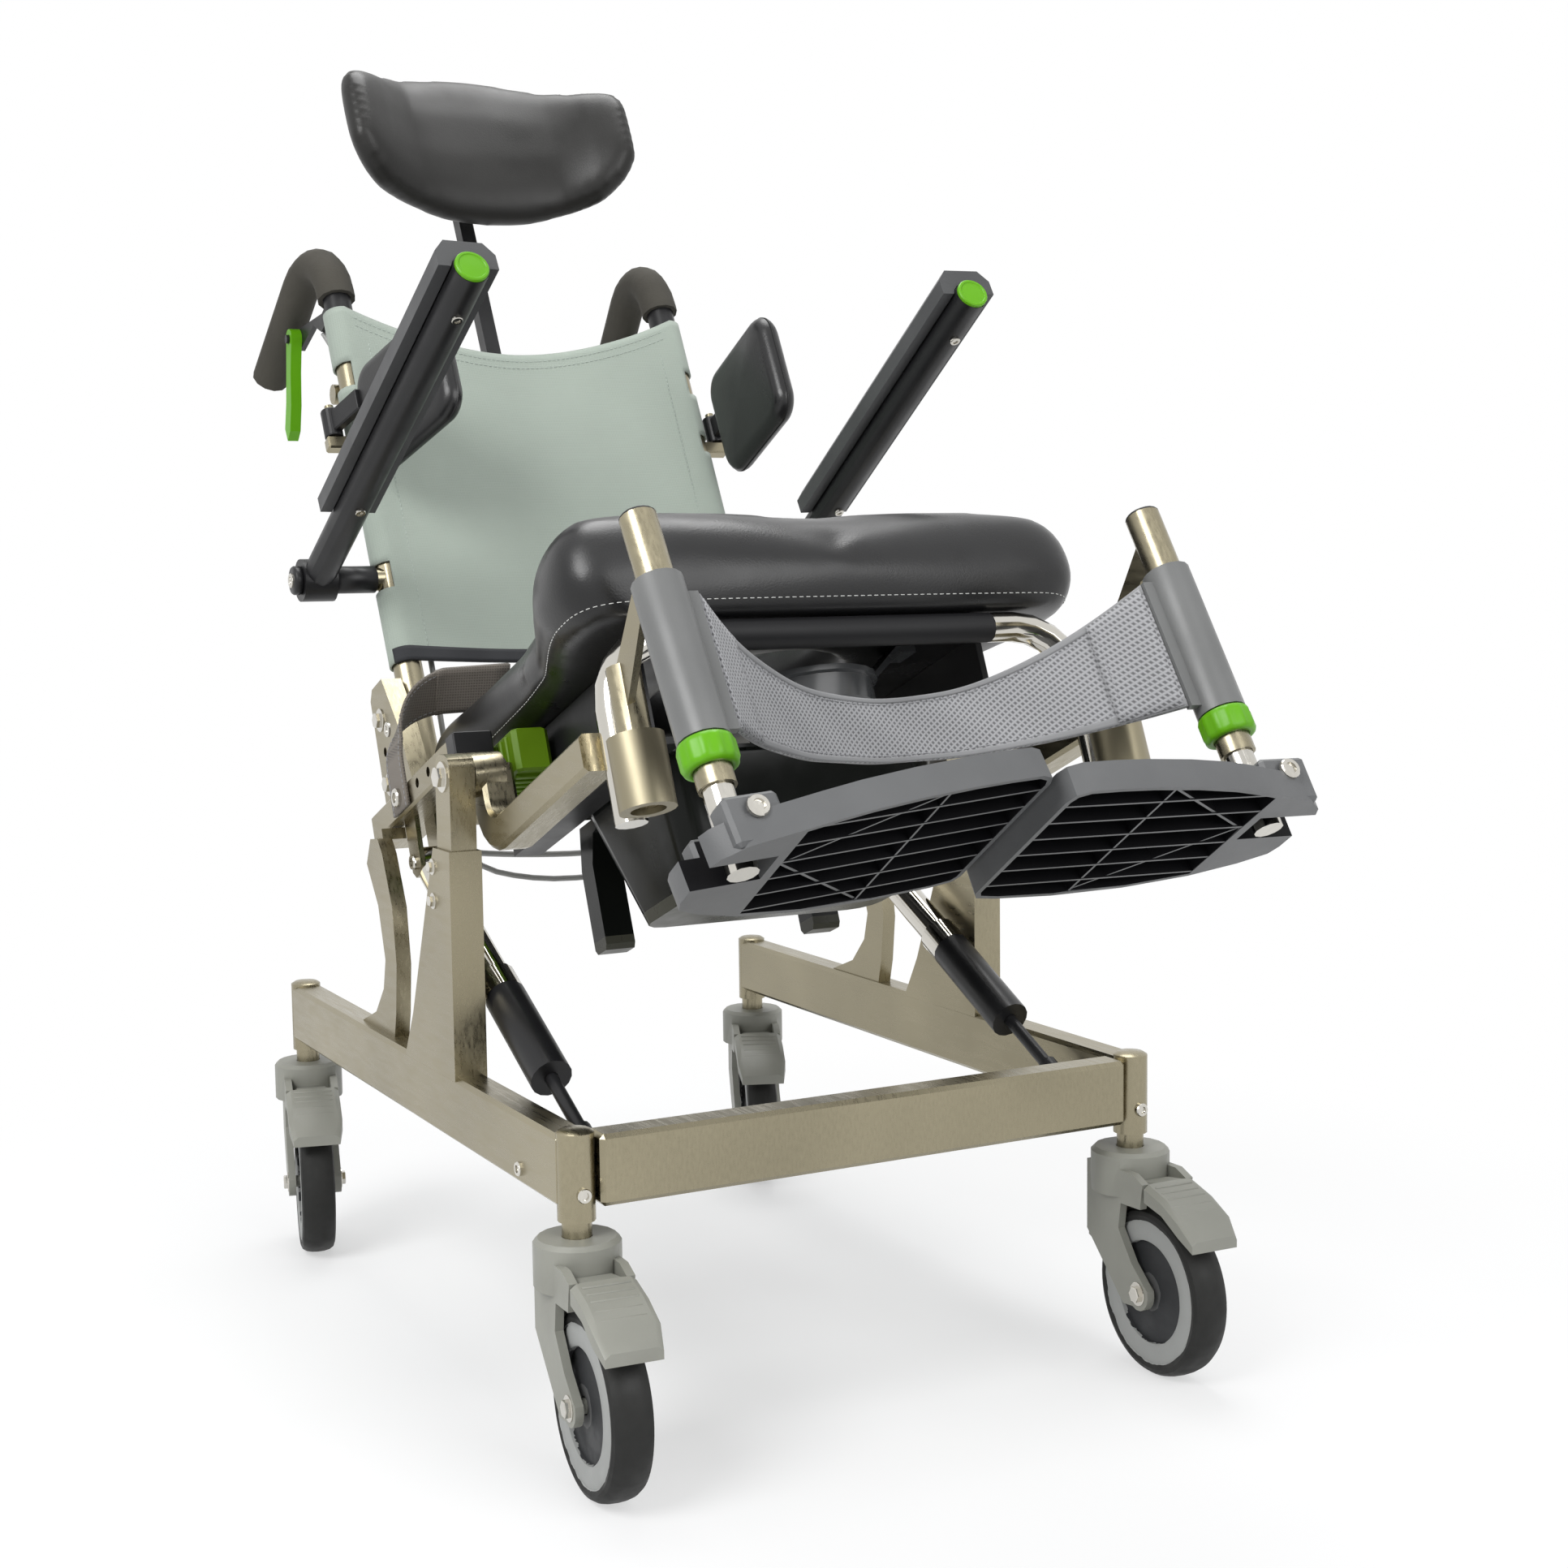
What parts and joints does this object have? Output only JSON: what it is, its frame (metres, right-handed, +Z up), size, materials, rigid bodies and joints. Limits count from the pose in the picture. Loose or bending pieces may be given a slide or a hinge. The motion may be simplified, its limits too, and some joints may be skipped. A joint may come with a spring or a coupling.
{
  "type": "pediatric tilt-in-space shower chair",
  "caption": "Wheeled tilting shower and commode chair for a child, with sling back, headrest, flip-up arms, calf strap, footplates and sliding pan.",
  "frame": {"origin": "on the floor, midway between the four caster swivel axes", "axes": "+Z up, chair faces -Y, +X to the sitter's left seen from the front"},
  "size_m": [0.5193, 1.0862, 1.0584],
  "materials": {
    "steel": "satin ground stainless tube",
    "chrome": "bright chrome",
    "caster_plastic": "light grey moulded nylon",
    "tyre": "dark grey rubber tread on a grey rim",
    "black_plastic": "black moulded plastic",
    "dark_plastic": "charcoal moulded plastic",
    "vinyl": "black coated vinyl, slightly glossy",
    "sling": "sage grey coated fabric",
    "foam": "dark foam grip",
    "lime": "lime green plastic",
    "mesh_fabric": "grey spacer mesh",
    "webbing": "brown grey webbing",
    "smoke_plastic": "smoky dark plastic"
  },
  "bodies": {
    "base": {"side_frame_left": "steel", "side_frame_right": "steel", "front_crossbar": "steel", "height_post_left": "steel", "height_post_right": "steel"},
    "caster_fl": {"caster_fork_fl": "caster_plastic"},
    "wheel_fl": {"caster_wheel_fl": "tyre"},
    "pedal_fl": {"caster_pedal_fl": "caster_plastic"},
    "caster_fr": {"caster_fork_fr": "caster_plastic"},
    "wheel_fr": {"caster_wheel_fr": "tyre"},
    "pedal_fr": {"caster_pedal_fr": "caster_plastic"},
    "caster_rl": {"caster_fork_rl": "caster_plastic"},
    "wheel_rl": {"caster_wheel_rl": "tyre"},
    "pedal_rl": {"caster_pedal_rl": "caster_plastic"},
    "caster_rr": {"caster_fork_rr": "caster_plastic"},
    "wheel_rr": {"caster_wheel_rr": "tyre"},
    "pedal_rr": {"caster_pedal_rr": "caster_plastic"},
    "seat": {"front_hoop": "chrome", "rear_cross_tube": "steel", "back_crossbar": "steel", "back_sling": "sling", "seat_cushion": "vinyl", "splash_cup": "dark_plastic", "hip_belt": "webbing", "seat_side_left": "steel", "seat_side_right": "steel", "front_tube_left": "steel", "front_tube_right": "steel", "back_post_left": "steel", "back_post_right": "steel", "push_grip_left": "foam", "push_grip_right": "foam", "pan_rail_left": "black_plastic", "pan_rail_right": "black_plastic", "release_cable_left": "black_plastic", "release_cable_right": "black_plastic"},
    "spring_rod_left": {"spring_rod_left": "black_plastic"},
    "spring_cylinder_left": {"spring_cylinder_left": "chrome"},
    "spring_rod_right": {"spring_rod_right": "black_plastic"},
    "spring_cylinder_right": {"spring_cylinder_right": "chrome"},
    "pan": {"commode_pan": "smoke_plastic"},
    "headrest": {"headrest_pad": "vinyl", "headrest_stem": "black_plastic"},
    "arm_left": {"arm_tube_left": "black_plastic", "arm_pad_left": "dark_plastic"},
    "lever_left": {"release_lever_left": "lime"},
    "lateral_left": {"lateral_pad_left": "vinyl"},
    "arm_right": {"arm_tube_right": "black_plastic", "arm_pad_right": "dark_plastic"},
    "lever_right": {"release_lever_right": "lime"},
    "lateral_right": {"lateral_pad_right": "vinyl"},
    "legrests": {"calf_strap": "mesh_fabric", "legrest_hanger_left": "steel", "legrest_hanger_right": "steel", "calf_sleeve_left": "dark_plastic", "calf_sleeve_right": "dark_plastic"},
    "foot_left": {"foot_tube_left": "chrome"},
    "plate_left": {"footplate_left": "dark_plastic"},
    "foot_right": {"foot_tube_right": "chrome"},
    "plate_right": {"footplate_right": "dark_plastic"}
  },
  "joints": [
    {"name": "caster_swivel_fl", "type": "hinge", "parent": "base", "child": "caster_fl", "pos_m": [-0.2237, -0.3071, 0.15], "axis": [0, 0, 1], "continuous": true},
    {"name": "wheel_spin_fl", "type": "hinge", "parent": "caster_fl", "child": "wheel_fl", "pos_m": [-0.22623, -0.34852, 0.0625], "axis": [0.9981, -0.061, 0], "continuous": true},
    {"name": "brake_pedal_fl", "type": "hinge", "parent": "caster_fl", "child": "pedal_fl", "pos_m": [-0.22602, -0.34503, 0.1365], "axis": [0.9981, -0.061, 0], "range_deg": [0, 10]},
    {"name": "caster_swivel_fr", "type": "hinge", "parent": "base", "child": "caster_fr", "pos_m": [0.2237, -0.3071, 0.15], "axis": [0, 0, 1], "continuous": true},
    {"name": "wheel_spin_fr", "type": "hinge", "parent": "caster_fr", "child": "wheel_fr", "pos_m": [0.22254, -0.34858, 0.0625], "axis": [0.9996, -0.0279, 0], "continuous": true},
    {"name": "brake_pedal_fr", "type": "hinge", "parent": "caster_fr", "child": "pedal_fr", "pos_m": [0.22264, -0.34509, 0.1365], "axis": [0.9996, -0.0279, 0], "range_deg": [0, 10]},
    {"name": "caster_swivel_rl", "type": "hinge", "parent": "base", "child": "caster_rl", "pos_m": [-0.2237, 0.3071, 0.15], "axis": [0, 0, 1], "continuous": true},
    {"name": "wheel_spin_rl", "type": "hinge", "parent": "caster_rl", "child": "wheel_rl", "pos_m": [-0.23304, 0.26666, 0.0625], "axis": [0.9744, -0.225, 0], "continuous": true},
    {"name": "brake_pedal_rl", "type": "hinge", "parent": "caster_rl", "child": "pedal_rl", "pos_m": [-0.23225, 0.27007, 0.1365], "axis": [0.9744, -0.225, 0], "range_deg": [0, 10]},
    {"name": "caster_swivel_rr", "type": "hinge", "parent": "base", "child": "caster_rr", "pos_m": [0.2237, 0.3071, 0.15], "axis": [0, 0, 1], "continuous": true},
    {"name": "wheel_spin_rr", "type": "hinge", "parent": "caster_rr", "child": "wheel_rr", "pos_m": [0.20815, 0.26862, 0.0625], "axis": [0.9272, -0.3746, 0], "continuous": true},
    {"name": "brake_pedal_rr", "type": "hinge", "parent": "caster_rr", "child": "pedal_rr", "pos_m": [0.20946, 0.27187, 0.1365], "axis": [0.9272, -0.3746, 0], "range_deg": [0, 10]},
    {"name": "seat_tilt", "type": "hinge", "parent": "base", "child": "seat", "pos_m": [0, -0.097, 0.447], "axis": [1, 0, 0], "range_deg": [0, 22]},
    {"name": "spring_swing_left", "type": "hinge", "parent": "base", "child": "spring_rod_left", "pos_m": [-0.193, -0.27, 0.2007], "axis": [1, 0, 0], "range_deg": [0, 7]},
    {"name": "spring_stroke_left", "type": "slide", "parent": "spring_rod_left", "child": "spring_cylinder_left", "axis": [0, 0.8919, 0.4523], "range_m": [0, 0.055]},
    {"name": "spring_swing_right", "type": "hinge", "parent": "base", "child": "spring_rod_right", "pos_m": [0.193, -0.27, 0.2007], "axis": [1, 0, 0], "range_deg": [0, 7]},
    {"name": "spring_stroke_right", "type": "slide", "parent": "spring_rod_right", "child": "spring_cylinder_right", "axis": [0, 0.8919, 0.4523], "range_m": [0, 0.055]},
    {"name": "pan_slide", "type": "slide", "parent": "seat", "child": "pan", "axis": [0, 0.9272, -0.3746], "range_m": [0, 0.25]},
    {"name": "headrest_height", "type": "slide", "parent": "seat", "child": "headrest", "axis": [0, 0.4588, 0.8885], "range_m": [-0.06, 0.06]},
    {"name": "arm_flip_left", "type": "hinge", "parent": "seat", "child": "arm_left", "pos_m": [-0.225, 0.22887, 0.58825], "axis": [-1, 0, 0], "range_deg": [0, 95]},
    {"name": "lever_squeeze_left", "type": "hinge", "parent": "seat", "child": "lever_left", "pos_m": [-0.16, 0.44734, 0.81082], "axis": [1, 0, 0], "range_deg": [0, 18], "stiffness_Nm_per_rad": 0.5},
    {"name": "lateral_swing_left", "type": "hinge", "parent": "seat", "child": "lateral_left", "pos_m": [-0.186, 0.28668, 0.70021], "axis": [0, -0.4588, -0.8885], "range_deg": [0, 93]},
    {"name": "arm_flip_right", "type": "hinge", "parent": "seat", "child": "arm_right", "pos_m": [0.225, 0.22887, 0.58825], "axis": [-1, 0, 0], "range_deg": [0, 95]},
    {"name": "lever_squeeze_right", "type": "hinge", "parent": "seat", "child": "lever_right", "pos_m": [0.16, 0.44734, 0.81082], "axis": [1, 0, 0], "range_deg": [0, 18], "stiffness_Nm_per_rad": 0.5},
    {"name": "lateral_swing_right", "type": "hinge", "parent": "seat", "child": "lateral_right", "pos_m": [0.186, 0.28668, 0.70021], "axis": [0, 0.4588, 0.8885], "range_deg": [-18, 75]},
    {"name": "legrest_lift", "type": "slide", "parent": "seat", "child": "legrests", "axis": [0, 0.3746, 0.9272], "range_m": [0, 0.1]},
    {"name": "foot_length_left", "type": "slide", "parent": "legrests", "child": "foot_left", "axis": [0, -0.5509, -0.8346], "range_m": [-0.015, 0.05]},
    {"name": "footplate_flip_left", "type": "hinge", "parent": "foot_left", "child": "plate_left", "pos_m": [-0.194, -0.48272, 0.43886], "axis": [0, -0.829, 0.5592], "range_deg": [-5, 24]},
    {"name": "foot_length_right", "type": "slide", "parent": "legrests", "child": "foot_right", "axis": [0, -0.5509, -0.8346], "range_m": [-0.015, 0.05]},
    {"name": "footplate_flip_right", "type": "hinge", "parent": "foot_right", "child": "plate_right", "pos_m": [0.194, -0.48272, 0.43886], "axis": [0, 0.829, -0.5592], "range_deg": [-1, 28]}
  ],
  "couplings": [
    {"joint": "spring_swing_left", "follows": "seat_tilt", "ratio": 0.297},
    {"joint": "spring_stroke_left", "follows": "seat_tilt", "m_per_rad": 0.129},
    {"joint": "spring_swing_right", "follows": "seat_tilt", "ratio": 0.297},
    {"joint": "spring_stroke_right", "follows": "seat_tilt", "m_per_rad": 0.129}
  ]
}
